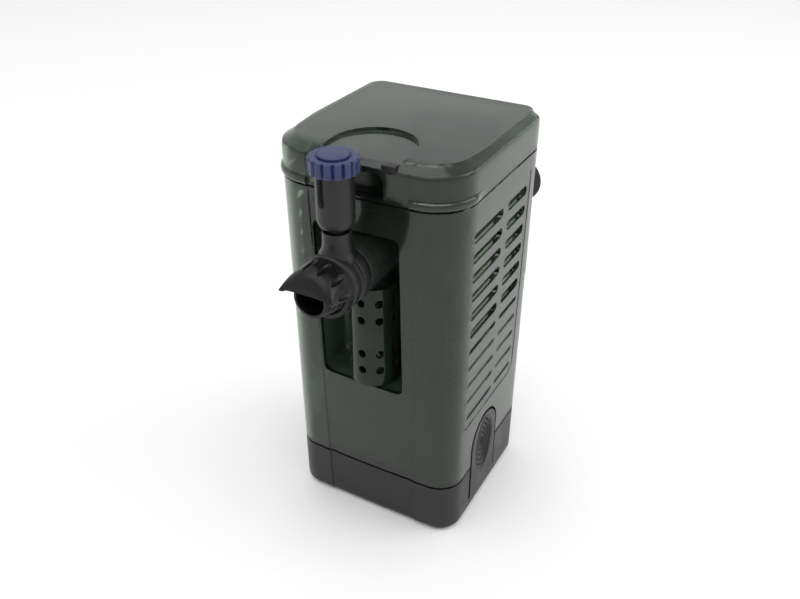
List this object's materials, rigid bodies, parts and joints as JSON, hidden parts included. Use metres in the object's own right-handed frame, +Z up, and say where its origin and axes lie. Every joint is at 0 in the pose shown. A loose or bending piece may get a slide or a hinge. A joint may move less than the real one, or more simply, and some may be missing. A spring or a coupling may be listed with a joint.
{
  "type": "aquarium internal canister filter",
  "caption": "Upright internal aquarium filter: smoked canister on a black pump base, flip-up lid, side louvres, outlet window, duck-bill nozzle, air valve knob and suction-cup bracket.",
  "frame": {"origin": "middle of the base's flat underside", "axes": "+Z up through the lid, -Y towards the outlet nozzle, +Y towards the bracket and suction cups, +X to the right seen from the nozzle"},
  "size_m": [0.1128, 0.1775, 0.248],
  "materials": {
    "smoked_plastic": "smoked translucent styrene-acrylonitrile, moulded, satin",
    "clear_plastic": "smoked translucent, moulded",
    "black_plastic": "moulded ABS, fine satin",
    "blue_plastic": "moulded ABS, satin",
    "rubber": "moulded",
    "grey_plastic": "moulded",
    "steel": "stainless",
    "winding": "enamelled copper wire",
    "ceramic": "ground ceramic",
    "foam": "open-cell foam",
    "bio_media": "porous rings in a tray"
  },
  "bodies": {
    "root": {"base_shell": "black_plastic", "cord_gland": "rubber", "canister_body": "smoked_plastic", "outlet_frame": "clear_plastic", "hinge_pin": "steel", "motor_housing": "grey_plastic", "motor_plate": "black_plastic", "stator_core": "steel", "stator_coil": "winding", "rotor_shaft": "ceramic", "lower_bush": "rubber", "upper_bush": "rubber", "pump_chamber": "grey_plastic", "pump_cover": "grey_plastic", "pump_screw_1": "steel", "pump_screw_2": "steel", "pump_screw_3": "steel", "pump_screw_4": "steel", "riser_tube": "clear_plastic", "flow_column": "clear_plastic", "outlet_socket": "clear_plastic", "media_basket": "grey_plastic", "basket_handle": "black_plastic", "carbon_cartridge": "foam", "bio_media_tray": "bio_media", "fine_filter_pad": "foam", "foam_pad_right": "foam", "foam_pad_left": "foam"},
    "lid": {"lid": "smoked_plastic"},
    "tee": {"tee_body": "black_plastic", "tee_o_ring": "rubber", "air_valve_body": "black_plastic"},
    "knob": {"knob": "blue_plastic", "knob_cap": "blue_plastic", "valve_stem": "grey_plastic"},
    "nozzle": {"nozzle_hood": "black_plastic", "jet_tube": "black_plastic"},
    "rotor": {"rotor_magnet": "grey_plastic", "impeller": "black_plastic"},
    "latch_right": {"latch_right": "black_plastic"},
    "latch_left": {"latch_left": "black_plastic"},
    "bracket": {"bracket": "black_plastic", "suction_cup_1": "rubber", "suction_cup_2": "rubber", "suction_cup_3": "rubber", "suction_cup_4": "rubber"}
  },
  "joints": [
    {"name": "lid_hinge", "type": "hinge", "parent": "root", "child": "lid", "pos_m": [0, 0.056, 0.2224], "axis": [-1, 0, 0], "range_deg": [0, 70]},
    {"name": "tee_swivel", "type": "hinge", "parent": "root", "child": "tee", "pos_m": [0, -0.076, 0.1825], "axis": [0, 1, 0], "range_deg": [-45, 45]},
    {"name": "knob_turn", "type": "hinge", "parent": "tee", "child": "knob", "pos_m": [0, -0.076, 0.24], "axis": [0, 0, 1], "range_deg": [0, 270]},
    {"name": "nozzle_turn", "type": "hinge", "parent": "tee", "child": "nozzle", "pos_m": [0, -0.09, 0.1825], "axis": [0, 1, 0], "continuous": true},
    {"name": "rotor_spin", "type": "hinge", "parent": "root", "child": "rotor", "pos_m": [0, -0.003, 0.06], "axis": [0, 0, 1], "continuous": true},
    {"name": "latch_right_press", "type": "hinge", "parent": "root", "child": "latch_right", "pos_m": [0.053, -0.0046, 0.011], "axis": [0, -1, 0], "range_deg": [0, 5], "stiffness_Nm_per_rad": 1.5},
    {"name": "latch_left_press", "type": "hinge", "parent": "root", "child": "latch_left", "pos_m": [-0.053, -0.0046, 0.011], "axis": [0, 1, 0], "range_deg": [0, 5], "stiffness_Nm_per_rad": 1.5},
    {"name": "bracket_slide", "type": "slide", "parent": "root", "child": "bracket", "axis": [0, 0, -1], "range_m": [0, 0.04]}
  ]
}
